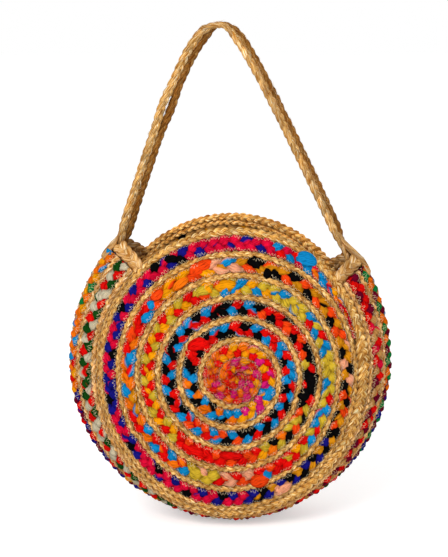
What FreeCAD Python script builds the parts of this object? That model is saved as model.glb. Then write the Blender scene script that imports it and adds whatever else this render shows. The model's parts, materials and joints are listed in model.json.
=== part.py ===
"""Round shoulder bag sewn from coiled jute and rag braids. Millimetres, +Z up.

The front panel faces -Y. The origin is the underside of the strap at its peak, where the bag hangs.
Every braid lies on one skin: a half-plane through the bag's middle cuts the skin in a curve, and a
braid is placed by its distance along that curve, from the middle of the front panel to the back's.
"""
import FreeCAD
import Part

import functools
import math
import os

# Skin of the bag
panel_radius = 190.0          # along the skin, from the middle of a panel to its rim
half_depth = 78.0             # from the mid-plane to the middle of a panel
panel_bend_side = 34.5        # degrees: how far the rim leans back at the left and the right
panel_bend_end = 28.0         # degrees: the same at the top and the bottom
panel_bend_power = 3          # how late the lean comes: 3 is nearly flat in the middle
upper_hold_power = 5          # how far up the sides' lean is held: 2 changes evenly to the end
lower_hold_power = 2.5          # the same, down to the bottom
panel_oval_share = 0.945      # how broad a panel stands at its rim, as a share of how tall
coil_shift = 7.5              # the coils' middles stand this far to the right of the bag's middle
bottom_sag = 7.0              # how far the bag's own weight draws its bottom down
skin_steps = 120              # steps that measure each curve of the skin
sew_tolerance = 0.001         # facets closer than this share an edge

# Braids
rag_width = 18.9
rag_thickness = 9.0
jute_width = 7.4
jute_thickness = 7.0
braid_gap = 0.45              # what the seam thread leaves between two braids
narrow_share = 0.75           # a narrow braid is no thicker than this share of its width

# Coils of a panel, in stations: 24 to a turn, counted clockwise from eight o'clock
stations = 24
coil_start_angle = 210.0      # degrees from +X: eight o'clock
step_share = 0.95             # 0 is an even spiral; near 1 the coil steps out at two o'clock
rag_first_station = 6
rag_hole = 1.2                # the pinhole in the middle of the coil
jute_first_station = 40
jute_taper_stations = 6       # over which the jute braid's first end thickens
rag_last_station = 181        # the rag braid runs out just before three o'clock, in the eighth turn
rag_taper_stations = 4
rim_first_station = 172       # where the jute braid takes over the rim
rim_last_station = 176
jute_last_station = 198       # the jute braid's last end, tucked in at eleven o'clock
tail_share = 0.25             # a tucked end's width as a share of its braid
rag_join_stations = [60, 84, 108, 132, 156]   # where a new length of rag braid is sewn on

# Gusset: rows of braid from one end, under the bag, to the other
gusset_left_angle = 49.5      # degrees above level of the lips at its two ends
gusset_right_angle = 42.5
lip_flare = 12.0              # how far the open ends spread
flare_start_angle = 5.0       # degrees above level where they begin to
gusset_rag_width = 17.6
gusset_rows = ["jute_a", "rag_1", "jute_b", "rag_2", "jute_c", "rag_3", "jute_d", "rag_4", "jute_e"]
end_braid_width = 20.0        # the jute sewn over the rows' ends, below the lip
end_braid_sections = 6
least_angle = 0.3             # degrees: the shortest step of a row; its others face the coils' stations

# Strap: two jute braids side by side
strap_braid_width = 12.0
strap_thickness = 8.0
strap_peak_offset = -12.0     # the peak stands left of the bag's middle
strap_left_inset = 7.0        # how far inside a lip the strap stands, on the line that it turns on
strap_right_inset = 25.0
strap_rise = 260.0            # from the pivot line to the strap's mid-line at the peak
strap_left_round_share = 0.56    # roundness of the peak on each side, as a share of that side's span
strap_right_round_share = 0.19
strap_sections = 44
strap_left_twist = 42.0       # degrees the band turns on its arms, front edge to the left
strap_right_twist = 30.0
strap_slit_width = 4.0        # an unsewn stretch of the left arm stands open
strap_slit_length = 75.0
strap_slit_place = 175.0      # from the left pivot, along the strap
anchor_length = 38.0          # how far a strap end runs down inside the gusset
anchor_clearance = 2.0        # how far inside the gusset's rows it hangs
anchor_sections = 4
anchor_round_steps = 6

strap_width = 2 * strap_braid_width + braid_gap
strap_reach = math.hypot(strap_width, strap_thickness) / 2
gusset_half_width = (5 * jute_width + 4 * gusset_rag_width + 10 * braid_gap) / 2
skin_half = panel_radius + gusset_half_width


@functools.lru_cache(maxsize=None)
def skin_curve(angle):
    """Points (radius, depth) along the skin at an angle in degrees: the panel's, then the gusset's."""
    rise = math.sin(math.radians(angle))
    side_share = 1 - abs(rise) ** (upper_hold_power if rise > 0 else lower_hold_power)
    bend = math.radians(panel_bend_end + (panel_bend_side - panel_bend_end) * side_share)
    panel = [(0.0, 0.0)]
    for step in range(skin_steps):
        lean = bend * ((step + 0.5) / skin_steps) ** panel_bend_power
        panel.append(advance(panel[-1], lean, panel_radius / skin_steps))
    low = 0.0
    high = math.pi / 2
    while high - low > 1e-9:
        seam_lean = (low + high) / 2
        gusset = [panel[-1]]
        for step in range(skin_steps):
            lean = seam_lean + (math.pi / 2 - seam_lean) * (step + 0.5) / skin_steps
            gusset.append(advance(gusset[-1], lean, gusset_half_width / skin_steps))
        if gusset[-1][1] < half_depth:
            low = seam_lean
        else:
            high = seam_lean
    return panel, gusset


def advance(point, lean, length):
    """The next point of a curve that leans back by lean."""
    return (point[0] + length * math.cos(lean), point[1] + length * math.sin(lean))


def skin_point(angle, distance):
    """The skin's (radius, y) at a distance along it from the middle of the front panel."""
    if distance > skin_half:
        radius, y = skin_point(angle, 2 * skin_half - distance)
        return radius, -y
    panel, gusset = skin_curve(angle)
    if distance <= panel_radius:
        curve = panel
        place = distance / panel_radius * skin_steps
    else:
        curve = gusset
        place = (distance - panel_radius) / gusset_half_width * skin_steps
    step = min(int(place), skin_steps - 1)
    share = place - step
    radius = curve[step][0] + (curve[step + 1][0] - curve[step][0]) * share
    depth = curve[step][1] + (curve[step + 1][1] - curve[step][1]) * share
    radius += flare(angle) * smooth((distance - panel_radius) / gusset_half_width)
    return radius, depth - half_depth


def smooth(share):
    """A share from 0 to 1, eased at both ends."""
    held = min(max(share, 0.0), 1.0)
    return held * held * (3 - 2 * held)


def flare(angle):
    """How far the middle of the gusset stands out at an angle."""
    rise = math.degrees(math.asin(math.sin(math.radians(angle))))
    lip_angle = gusset_right_angle if math.cos(math.radians(angle)) > 0 else gusset_left_angle
    share = (rise - flare_start_angle) / (lip_angle - flare_start_angle)
    return lip_flare * min(max(share, 0.0), 1.0) ** 2


def skin_place(angle, distance, facing=1):
    """The point of the skin at a distance along it; facing -1 turns it over to the back panel."""
    radius, y = skin_point(angle, distance)
    folded = min(distance, 2 * skin_half - distance)
    drawn = min(folded / panel_radius, 1) ** 2 * (1 - smooth((folded - panel_radius) / gusset_half_width))
    breadth = 1 - (1 - panel_oval_share) * drawn
    x = radius * math.cos(math.radians(angle)) * breadth + coil_shift * (1 - (folded / skin_half) ** 2)
    return FreeCAD.Vector(x, y * facing, radius * math.sin(math.radians(angle)) * facing)


def skin_angle(facing, rise):
    """The angle from +X of a place that many degrees above level, on the right or the left."""
    return rise if facing > 0 else 180.0 - rise


def lip(facing):
    """One end of the gusset: the lip's degrees above level and its radius in the middle."""
    rise = gusset_right_angle if facing > 0 else gusset_left_angle
    return rise, skin_point(skin_angle(facing, rise), skin_half)[0]


def row_end(facing):
    """Degrees above level of the rows' ends, just below the braids that are sewn over them."""
    rise, radius = lip(facing)
    return rise - math.degrees((end_braid_width + 2 * braid_gap) / radius)


lip_heights = [radius * math.sin(math.radians(rise)) for rise, radius in (lip(-1), lip(1))]
strap_pivot_height = max(lip_heights) + strap_reach + 2 * braid_gap
hook = FreeCAD.Vector(strap_peak_offset, 0, strap_pivot_height + strap_rise - strap_thickness / 2)


def hexagon(middle, across, out, width, thickness):
    """A braid's section: full thickness in the middle, drawn in to a seam at both edges."""
    thick = min(thickness, width * narrow_share)
    flat = across * (width / 2 - thick / 2)
    edge = across * (width / 2)
    face = out * (thick / 2)
    corners = [-edge, face - flat, face + flat, edge, flat - face, -flat - face]
    return [middle + corner for corner in corners]


def skin_section(angle, start, end, thickness, turned=False):
    """The section at an angle of a braid that fills the skin from start to end."""
    facing = -1 if turned else 1
    inner = skin_place(angle, start, facing)
    outer = skin_place(angle, end, facing)
    middle = (inner + outer) / 2
    across = outer - inner
    width = across.Length
    across.normalize()
    radial = FreeCAD.Vector(math.cos(math.radians(angle)), 0, math.sin(math.radians(angle)) * facing)
    depthwise = FreeCAD.Vector(0, facing, 0)
    out = radial * across.dot(depthwise) - depthwise * across.dot(radial)
    out -= across * out.dot(across)
    out.normalize()
    return hexagon(middle, across, out, width, thickness)


def settle(point):
    """A point of the bag, drawn down the more the lower it lies."""
    share = min(point.z / panel_radius, 0.0)
    return point - FreeCAD.Vector(0, 0, bottom_sag * share ** 2)


def braid(sections):
    """One length of braid: flat facets from each section to the next, closed by the first and the last.

    The sections are measured from the middle of the bag, and the solid from the hook.
    """
    corners = len(sections[0])
    points = [settle(point) - hook for section in sections for point in section]
    facets = []
    for first in range(0, len(points) - corners, corners):
        for corner in range(corners):
            here = first + corner
            beside = first + (corner + 1) % corners
            facets.append((here, beside, beside + corners))
            facets.append((here, beside + corners, here + corners))
    last = len(points) - corners
    for corner in range(1, corners - 1):
        facets.append((0, corner + 1, corner))
        facets.append((last, last + corner, last + corner + 1))
    skin = Part.Shape()
    skin.makeShapeFromMesh((points, facets), sew_tolerance)
    solid = Part.Solid(skin)
    if solid.Volume < 0:
        solid.reverse()
    return solid


def station_angle(station):
    """Degrees from +X of a coil station; the coil winds clockwise seen from the front."""
    return (coil_start_angle - 360.0 / stations * station) % 360.0


def climb(station):
    """How much of one turn's growth a station of that turn has reached, 0 to 1."""
    turn_share = station % stations / stations
    return turn_share - step_share * math.sin(2 * math.pi * turn_share) / (2 * math.pi)


def coil_edges():
    """Inner and outer edge, along the skin, of the rag and the jute braid at each coil station."""
    rag = {}
    jute = {}
    rim = panel_radius - braid_gap / 2
    for station in range(jute_last_station + 1):
        below = station - stations
        if station <= rag_last_station:
            if station < stations:
                floor = rag_hole
                roof = max(rag_width * climb(station), 2 * rag_hole)
            else:
                floor = (jute if below in jute else rag)[below][1] + braid_gap
                left = (rag_last_station - station + 1) / (rag_taper_stations + 1)
                full = floor + rag_width * (tail_share + (1 - tail_share) * smooth(left))
                roof = min(full, rim - jute_width - braid_gap)
            rag[station] = (floor, roof)
        if station >= jute_first_station:
            under = rag[station][1] if station in rag else jute[below][1]
            grown = (station - jute_first_station + 1) / (jute_taper_stations + 1)
            natural = under + braid_gap + jute_width * smooth(max(grown, tail_share))
            widen = smooth((station - rim_first_station) / (rim_last_station - rim_first_station))
            jute[station] = (under + braid_gap, natural + (rim - natural) * widen)
    return rag, jute


def coil(edges, first, last, thickness, turned):
    """A length of coiled braid between two stations."""
    sections = []
    for station in range(first, last + 1):
        start, end = edges[station]
        sections.append(skin_section(station_angle(station), start, end, thickness, turned))
    return braid(sections)


def self_gap(edges, first, last):
    """The least gap between a coil's own turns, measured at its stations."""
    gaps = [edges[station][0] - edges[station - stations][1] for station in range(first + stations, last + 1)]
    return min(gaps)


def panel_parts(side, turned):
    """One panel: a jute braid and lengths of rag braid wound together in one flat coil."""
    rag, jute = coil_edges()
    parts = {side + "_jute_coil": coil(jute, jute_first_station, jute_last_station, jute_thickness, turned)}
    ends = [rag_first_station] + rag_join_stations + [rag_last_station]
    for number, (first, last) in enumerate(zip(ends, ends[1:])):
        name = side + ("_rag_ring_%d" % number if number else "_rag_centre")
        parts[name] = coil(rag, first, last, rag_thickness, turned)
    print(side, "coil: jute gap to itself", round(self_gap(jute, jute_first_station, jute_last_station), 2),
          "mm, rag", round(self_gap(rag, stations, rag_last_station), 2), "mm")
    return parts


def gusset_parts():
    """The gusset: rows of braid under the bag, with a jute braid across each end."""
    first = row_end(1)
    last = -180.0 - row_end(-1)
    between = [station_angle(station) - 360.0 * turn for turn in range(2) for station in range(stations)]
    kept = [angle for angle in sorted(between, reverse=True) if first - least_angle > angle > last + least_angle]
    angles = [first] + kept + [last]
    parts = {}
    start = panel_radius + braid_gap / 2
    for row in gusset_rows:
        is_rag = row.startswith("rag")
        end = start + (gusset_rag_width if is_rag else jute_width)
        thickness = rag_thickness if is_rag else jute_thickness
        parts["gusset_" + row] = braid([skin_section(angle % 360.0, start, end, thickness) for angle in angles])
        start = end + braid_gap
    for side, facing in (("left", -1), ("right", 1)):
        parts["gusset_end_braid_%s_front" % side] = gusset_end_braid(facing, 1)
        parts["gusset_end_braid_%s_back" % side] = gusset_end_braid(facing, -1)
    return parts


def gusset_end_braid(facing, half):
    """Half of the jute braid over the ends of the gusset's rows: from a panel's rim to the strap."""
    lip_rise, lip_radius = lip(facing)
    rise = lip_rise - math.degrees(end_braid_width / 2 / lip_radius)
    angle = skin_angle(facing, rise)
    radial = FreeCAD.Vector(facing * math.cos(math.radians(rise)), 0, math.sin(math.radians(rise)))
    across = FreeCAD.Vector(-facing * math.sin(math.radians(rise)), 0, math.cos(math.radians(rise)))
    depthwise = FreeCAD.Vector(0, half, 0)
    start = panel_radius + jute_thickness / 2
    run = skin_half - strap_reach - jute_thickness / 2 - braid_gap - start
    sections = []
    for number in range(end_braid_sections + 1):
        place = start + run * number / end_braid_sections
        before = skin_point(angle, place - run / end_braid_sections / 2)
        after = skin_point(angle, place + run / end_braid_sections / 2)
        radius, y = skin_point(angle, place)
        out = radial * (after[1] - before[1]) - depthwise * (after[0] - before[0])
        out.normalize()
        middle = skin_place(angle, place)
        middle.y = y * half
        width = end_braid_width * radius / lip_radius
        sections.append(hexagon(middle, across, out, width, jute_thickness))
    return braid(sections)


def strap_side(facing):
    """The span of one side of the strap's arch, from its peak to its pivot, and its rounding."""
    rise, radius = lip(facing)
    inset = strap_right_inset if facing > 0 else strap_left_inset
    span = radius * math.cos(math.radians(rise)) - inset - facing * strap_peak_offset
    return span, span * (strap_right_round_share if facing > 0 else strap_left_round_share)


def strap_turn(facing):
    """How far the band is turned on one arm, in radians."""
    return math.radians(strap_right_twist if facing > 0 else strap_left_twist) * -facing


def strap_height(x):
    """The height of the strap's mid-line above the middle of the panels: a hyperbola on each side."""
    offset = x - strap_peak_offset
    span, rounding = strap_side(1 if offset > 0 else -1)
    fall = (math.hypot(offset, rounding) - rounding) / (math.hypot(span, rounding) - rounding)
    return strap_pivot_height + strap_rise * (1 - fall)


def strap_end(facing):
    """Where the strap's mid-line starts on one side, just above the round end that it turns on."""
    span, rounding = strap_side(facing)
    fall = 1 - (strap_reach + braid_gap) / strap_rise
    reach = math.hypot(span, rounding) * fall + rounding * (1 - fall)
    return strap_peak_offset + facing * math.sqrt(reach ** 2 - rounding ** 2)


def strap_line():
    """Evenly spaced points of the strap's mid-line, from left to right, with their directions."""
    fine = strap_sections * strap_sections
    left = strap_end(-1)
    right = strap_end(1)
    points = []
    for step in range(fine + 1):
        x = left + (right - left) * step / fine
        points.append(FreeCAD.Vector(x, 0, strap_height(x)))
    lengths = [0.0]
    for first, second in zip(points, points[1:]):
        lengths.append(lengths[-1] + (second - first).Length)
    spaced = [(0.0, points[0], FreeCAD.Vector(0, 0, 1))]
    step = 0
    for number in range(1, strap_sections):
        place = lengths[-1] * number / strap_sections
        while lengths[step + 1] < place:
            step += 1
        along = points[step + 1] - points[step]
        along.normalize()
        spaced.append((place, points[step] + along * (place - lengths[step]), along))
    spaced.append((lengths[-1], points[-1], FreeCAD.Vector(0, 0, -1)))
    return spaced, lengths[-1]


def strap_parts():
    """The strap's two braids, which turn on the arms and lie level over the peak."""
    line, length = strap_line()
    front = []
    back = []
    for place, point, along in line:
        from_peak = point.x - strap_peak_offset
        turn = strap_turn(1 if from_peak > 0 else -1) * smooth(abs(from_peak) / strap_width)
        down = FreeCAD.Vector(along.z, 0, -along.x)
        across = FreeCAD.Vector(0, math.cos(turn), 0) + down * math.sin(turn)
        out = along.cross(across)
        opened = smooth(1 - abs(place - strap_slit_place) / (strap_slit_length / 2)) * strap_slit_width
        offset = across * ((strap_braid_width + braid_gap + opened) / 2)
        front.append(hexagon(point - offset, across, out, strap_braid_width, strap_thickness))
        back.append(hexagon(point + offset, across, out, strap_braid_width, strap_thickness))
    print("strap length between its round ends", round(length, 1), "mm")
    return {"strap_braid_front": braid(front), "strap_braid_back": braid(back)}


def strap_anchor(facing):
    """A sewn-in end of the strap: inside the gusset, then up to a round end about the pivot line."""
    lip_radius = lip(facing)[1]
    chord_sag = lip_radius * (1 - math.cos(math.pi / stations))
    inset = rag_thickness / 2 + anchor_clearance + braid_gap + strap_thickness / 2 + chord_sag
    last = math.radians(row_end(facing)) - strap_thickness / 2 / lip_radius
    middles = []
    for step in range(anchor_sections):
        rise = last - anchor_length * (1 - step / (anchor_sections - 1)) / lip_radius
        skin = skin_place(skin_angle(facing, math.degrees(rise)), skin_half - strap_width / 2)
        inward = FreeCAD.Vector(-facing * math.cos(rise), 0, -math.sin(rise))
        middles.append(FreeCAD.Vector(skin.x, 0, skin.z) + inward * inset)
    pivot = FreeCAD.Vector(strap_end(facing), 0, strap_pivot_height)
    sections = []
    for middle, after in zip(middles, middles[1:] + [pivot]):
        sections.append(anchor_section(middle, after - middle, strap_width / 2, 0))
    up = FreeCAD.Vector(0, 0, 1)
    turn = strap_turn(facing)
    corner = strap_thickness / 2 * abs(math.sin(turn))
    for step in range(anchor_round_steps):
        rise = math.pi / 2 * step / anchor_round_steps
        half_width = min((strap_reach * math.cos(rise) - corner) / math.cos(turn), strap_width / 2)
        if half_width > braid_gap:
            sections.append(anchor_section(pivot + up * (strap_reach * math.sin(rise)), up, half_width, turn))
    return braid(sections)


def anchor_section(middle, along, half_width, turn):
    """A rectangle across a strap end, turned from level about the way it runs."""
    along = FreeCAD.Vector(along)
    along.normalize()
    down = FreeCAD.Vector(along.z, 0, -along.x)
    across = FreeCAD.Vector(0, math.cos(turn), 0) + down * math.sin(turn)
    wide = across * half_width
    thick = along.cross(across) * (strap_thickness / 2)
    return [middle - thick - wide, middle + thick - wide, middle + thick + wide, middle - thick + wide]


def build():
    """Every braid of the bag by its name."""
    parts = {}
    parts.update(panel_parts("front", False))
    parts.update(panel_parts("back", True))
    parts.update(gusset_parts())
    parts.update(strap_parts())
    for side, facing in (("left", -1), ("right", 1)):
        parts["strap_anchor_" + side] = strap_anchor(facing)
    return parts


print("hook above the bag's middle", round(hook.z, 2), "mm, pivot line below the hook",
      round(hook.z - strap_pivot_height, 2), "mm")
print("gusset lips", [round(height, 2) for height in lip_heights], "mm up")
os.makedirs("parts", exist_ok=True)
for name, shape in build().items():
    print("%-26s valid %s volume %.0f mm3" % (name, shape.isValid(), shape.Volume))
    shape.exportStep("parts/%s.step" % name)
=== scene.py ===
# %% [markdown]
# # A round shoulder bag of coiled braids
# The bag is sewn from two kinds of braid: a thin one of jute and a thick one of cloth strips, which makers
# call rag braid. Both are wound side by side into two flat coils, the front and the back panel. Straight
# rows of the same braids make the gusset between them, and two jute braids make the strap.
#
# The solid model already says where every braid lies. Here each braid gets its three plaited strands, its
# colours and its sewing thread. The frame is loaded first, and nothing in it is moved.

import json
import math

import bpy
import numpy as np
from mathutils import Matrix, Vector
from mathutils.bvhtree import BVHTree

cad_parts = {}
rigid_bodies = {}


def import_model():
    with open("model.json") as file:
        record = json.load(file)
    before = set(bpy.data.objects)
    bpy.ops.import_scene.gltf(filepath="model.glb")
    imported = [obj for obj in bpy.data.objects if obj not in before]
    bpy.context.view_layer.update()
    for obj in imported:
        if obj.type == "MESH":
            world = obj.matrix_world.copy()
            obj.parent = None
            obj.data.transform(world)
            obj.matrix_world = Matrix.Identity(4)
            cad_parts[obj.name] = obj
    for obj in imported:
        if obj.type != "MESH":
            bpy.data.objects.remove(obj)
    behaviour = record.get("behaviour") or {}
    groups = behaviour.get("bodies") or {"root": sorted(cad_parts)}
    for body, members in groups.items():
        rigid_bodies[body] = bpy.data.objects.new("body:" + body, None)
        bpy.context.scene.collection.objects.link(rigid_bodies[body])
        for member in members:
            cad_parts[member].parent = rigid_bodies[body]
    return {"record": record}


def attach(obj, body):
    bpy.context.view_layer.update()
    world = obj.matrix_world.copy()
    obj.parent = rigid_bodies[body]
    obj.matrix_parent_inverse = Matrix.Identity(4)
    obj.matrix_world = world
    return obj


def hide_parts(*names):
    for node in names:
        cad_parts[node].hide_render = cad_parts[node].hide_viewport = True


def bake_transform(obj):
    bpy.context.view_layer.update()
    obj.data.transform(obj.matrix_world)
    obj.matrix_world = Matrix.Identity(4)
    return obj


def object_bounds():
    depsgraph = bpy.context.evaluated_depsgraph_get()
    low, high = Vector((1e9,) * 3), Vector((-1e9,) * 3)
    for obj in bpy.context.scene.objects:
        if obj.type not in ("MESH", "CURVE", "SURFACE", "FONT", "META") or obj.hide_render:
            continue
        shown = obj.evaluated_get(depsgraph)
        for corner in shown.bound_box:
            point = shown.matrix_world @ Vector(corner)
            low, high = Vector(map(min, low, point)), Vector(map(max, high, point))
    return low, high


for leftover in list(bpy.data.objects):
    bpy.data.objects.remove(leftover)
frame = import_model()
cad_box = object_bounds()
print("solid model's box", [[round(value, 4) for value in corner] for corner in cad_box])

# %% [markdown]
# ## Camera, floor and light
# The photograph looks at the front of the bag from a little above, from far enough away that the back lip
# shows over the front one. A long lens at two and a half metres gives the same flat view. The bag stands on
# a plain pale floor, under a soft sky and one broad lamp, so that its colours show about as they are.

# %% Camera
bag_middle = np.array([0.012, 0.0, -0.43451])
camera_tilt = math.radians(11.0)
camera_distance = 2.5
picture_height = 0.724
camera_aim = Vector(bag_middle) + Vector((-0.0078, 0.0, 0.110))
camera_place = camera_aim + camera_distance * Vector((0, -math.cos(camera_tilt), math.sin(camera_tilt)))
bpy.ops.object.camera_add(location=camera_place, rotation=(math.pi / 2 - camera_tilt, 0, 0))
camera = bpy.context.object
camera.data.lens = camera.data.sensor_width * camera_distance / picture_height
bpy.context.scene.camera = camera
bpy.context.scene.view_settings.view_transform = "Standard"
print("lens", round(camera.data.lens, 1), "mm")

# %% Floor
def background_rays(nodes, links):
    """One for a ray that shows the background itself, straight or by a mirror or a glass, else nought."""
    rays = nodes.new("ShaderNodeLightPath")
    total = rays.outputs["Is Camera Ray"]
    for kind in ("Is Glossy Ray", "Is Transmission Ray"):
        both = nodes.new("ShaderNodeMath")
        both.operation = "MAXIMUM"
        links.new(total, both.inputs[0])
        links.new(rays.outputs[kind], both.inputs[1])
        total = both.outputs["Value"]
    return total


floor_drop = 0.004
floor_glow_strength = 0.42
floor_height = cad_box[0][2] - floor_drop
bpy.ops.object.select_all(action="DESELECT")
bpy.ops.mesh.primitive_plane_add(size=12.0, location=(0, 2.0, floor_height))
floor = bpy.context.object
floor.name = "floor"
floor_finish = bpy.data.materials.new("pale_floor")
floor_finish.use_nodes = True
floor_nodes = floor_finish.node_tree.nodes
floor_links = floor_finish.node_tree.links
floor_shader = floor_nodes["Principled BSDF"]
floor_shader.inputs["Base Color"].default_value = (0.93, 0.93, 0.93, 1)
floor_shader.inputs["Roughness"].default_value = 0.9
floor_shader.inputs["Specular IOR Level"].default_value = 0.1
floor_glow = floor_nodes.new("ShaderNodeEmission")
floor_seen = floor_nodes.new("ShaderNodeMath")
floor_seen.operation = "MULTIPLY"
floor_seen.inputs[1].default_value = floor_glow_strength
floor_sum = floor_nodes.new("ShaderNodeAddShader")
floor_links.new(background_rays(floor_nodes, floor_links), floor_seen.inputs[0])
floor_links.new(floor_seen.outputs["Value"], floor_glow.inputs["Strength"])
floor_links.new(floor_shader.outputs["BSDF"], floor_sum.inputs[0])
floor_links.new(floor_glow.outputs["Emission"], floor_sum.inputs[1])
floor_links.new(floor_sum.outputs["Shader"], floor_nodes["Material Output"].inputs["Surface"])
floor.data.materials.append(floor_finish)
print("floor at", round(floor_height, 4))

# %% Light
world = bpy.data.worlds.new("studio")
bpy.context.scene.world = world
world.use_nodes = True
sky = world.node_tree.nodes["Background"]
sky.inputs["Color"].default_value = (1, 1, 1, 1)
sky_level = 0.62
sky_seen = background_rays(world.node_tree.nodes, world.node_tree.links)
sky_strength = world.node_tree.nodes.new("ShaderNodeMapRange")
sky_strength.inputs["To Min"].default_value = sky_level
sky_strength.inputs["To Max"].default_value = 1.0
world.node_tree.links.new(sky_seen, sky_strength.inputs["Value"])
world.node_tree.links.new(sky_strength.outputs["Result"], sky.inputs["Strength"])
lamps = [
    ("key_lamp", (-0.9, -1.9, 0.9), 1.1, 34.0),
    ("fill_lamp", (1.4, -1.6, 0.2), 1.4, 10.0),
]
for lamp_name, lamp_place, lamp_size, lamp_power in lamps:
    bpy.ops.object.light_add(type="AREA", location=lamp_place)
    lamp = bpy.context.object
    lamp.name = lamp_name
    lamp.data.size = lamp_size
    lamp.data.energy = lamp_power
    toward = Vector(bag_middle) - Vector(lamp_place)
    lamp.rotation_euler = toward.to_track_quat("-Z", "Y").to_euler()
print("lamps", len(lamps))

# %% [markdown]
# ## The skin that every braid lies on
# The bag is a drum with soft, leaning sides. A half-plane through its middle cuts it in a curve: nearly
# flat over the panel, leaning back towards the rim, then round over the gusset. A place on the skin is an
# angle and a distance along that curve, and a height above it. The sizes are those of the solid model, in
# metres. The curve depends on the angle only through how much the rim leans there, so a small table holds it.
# The bag's weight draws its bottom down a little, which makes it squarer below than above, and the gusset
# spreads at its open ends.

# %% Sizes of the skin and the braids
panel_radius = 0.190
half_depth = 0.078
panel_bend_side = math.radians(34.5)
panel_bend_end = math.radians(28.0)
panel_bend_power = 3
upper_hold_power, lower_hold_power = 5, 2.5
panel_oval_share = 0.945
coil_shift = 0.0075
bottom_sag = 0.007
lip_angles = {-1: math.radians(49.5), 1: math.radians(42.5)}
lip_flare = 0.012
flare_start = math.radians(5.0)
rag_width = 0.0189
jute_width = 0.0074
gusset_rag_width = 0.0176
braid_gap = 0.00045
rag_thickness = 0.009
gusset_half_width = (5 * jute_width + 4 * gusset_rag_width + 10 * braid_gap) / 2
skin_half = panel_radius + gusset_half_width
skin_steps = 160
skin_rows = 17
skin_columns = 600


# %% The table of the skin
def skin_row(side_share):
    """Radius and depth along one curve of the skin, at even distances."""
    bend = panel_bend_end + (panel_bend_side - panel_bend_end) * side_share
    middle = (np.arange(skin_steps) + 0.5) / skin_steps
    panel_lean = bend * middle ** panel_bend_power
    panel_depth = panel_radius * np.sin(panel_lean).mean()
    low, high = 0.0, math.pi / 2
    while high - low > 1e-9:
        seam_lean = (low + high) / 2
        gusset_lean = seam_lean + (math.pi / 2 - seam_lean) * middle
        if panel_depth + gusset_half_width * np.sin(gusset_lean).mean() < half_depth:
            low = seam_lean
        else:
            high = seam_lean
    leans = np.concatenate([panel_lean, gusset_lean])
    steps = np.repeat([panel_radius / skin_steps, gusset_half_width / skin_steps], skin_steps)
    places = np.concatenate([[0], np.cumsum(steps)])
    radius = np.concatenate([[0], np.cumsum(steps * np.cos(leans))])
    depth = np.concatenate([[0], np.cumsum(steps * np.sin(leans))])
    even = np.linspace(0, skin_half, skin_columns)
    return np.stack([np.interp(even, places, radius), np.interp(even, places, depth)])


skin_table = np.stack([skin_row(share) for share in np.linspace(0, 1, skin_rows)], axis=1)
skin_slope = np.gradient(skin_table, skin_half / (skin_columns - 1), axis=2)
print("skin table", skin_table.shape, "widest radius", round(float(skin_table[0].max()), 4))


# %% A place on the skin
def read_skin(table, row, column):
    """The table's values between its rows and columns."""
    row_low = np.minimum(row.astype(int), skin_rows - 2)
    column_low = np.minimum(column.astype(int), skin_columns - 2)
    over = row - row_low
    along = column - column_low
    near = table[:, row_low, column_low] * (1 - along) + table[:, row_low, column_low + 1] * along
    far = table[:, row_low + 1, column_low] * (1 - along) + table[:, row_low + 1, column_low + 1] * along
    return near * (1 - over) + far * over


def smooth(share):
    """A share from 0 to 1, eased at both ends."""
    held = np.clip(share, 0.0, 1.0)
    return held * held * (3 - 2 * held)


def flare(angle, folded):
    """How far the gusset stands out near its open ends."""
    lip_angle = np.where(np.cos(angle) > 0, lip_angles[1], lip_angles[-1])
    rise = np.arcsin(np.clip(np.sin(angle), -1, 1))
    share = np.clip((rise - flare_start) / (lip_angle - flare_start), 0, 1)
    return lip_flare * share ** 2 * smooth((folded - panel_radius) / gusset_half_width)


def on_skin(angle, distance, height, turned=False):
    """Points at a height above the skin, for arrays of angles and distances from the front panel's middle."""
    beyond = distance > skin_half
    folded = np.clip(np.where(beyond, 2 * skin_half - distance, distance), 0, skin_half)
    rise = np.sin(angle)
    hold = np.where(rise > 0, upper_hold_power, lower_hold_power)
    row = (1 - np.abs(rise) ** hold) * (skin_rows - 1)
    column = folded / skin_half * (skin_columns - 1)
    radius, depth = read_skin(skin_table, row, column)
    radius_slope, depth_slope = read_skin(skin_slope, row, column)
    side = np.where(beyond, -1.0, 1.0)
    steep = np.hypot(radius_slope, depth_slope)
    radius = radius + height * depth_slope / steep + flare(angle, folded)
    y = side * (depth - half_depth) - side * height * radius_slope / steep
    facing = -1.0 if turned else 1.0
    z = facing * radius * np.sin(angle)
    z = z - bottom_sag * np.minimum(z / panel_radius, 0) ** 2
    drawn = np.minimum(folded / panel_radius, 1) ** 2
    drawn = drawn * (1 - smooth((folded - panel_radius) / gusset_half_width))
    x = radius * np.cos(angle) * (1 - (1 - panel_oval_share) * drawn)
    x = x + coil_shift * (1 - (folded / skin_half) ** 2)
    return np.stack([x, facing * y, z], axis=-1) + bag_middle


# %% [markdown]
# ## Where the braids of a panel run
# A panel is a double coil. The rag braid starts in the middle and winds clockwise, and from the second turn
# the jute braid winds with it, so that every row of rag has a row of jute around it. Each turn lies on the
# turn below, so its edges are found by stacking. The turns step outward on one side, as in the photograph.

# %% Edges of the coils
turn_stations = 24
fine = 4
coil_start_angle = math.radians(210.0)
step_share = 0.95
rag_start, rag_end, rag_taper = 6, 181, 4
rag_hole = 0.0012
jute_start, jute_end, jute_taper = 40, 198, 6
rim_widen_start, rim_widen_end = 172, 176
tail_share = 0.25
rag_joins = [60, 84, 108, 132, 156]


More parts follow.
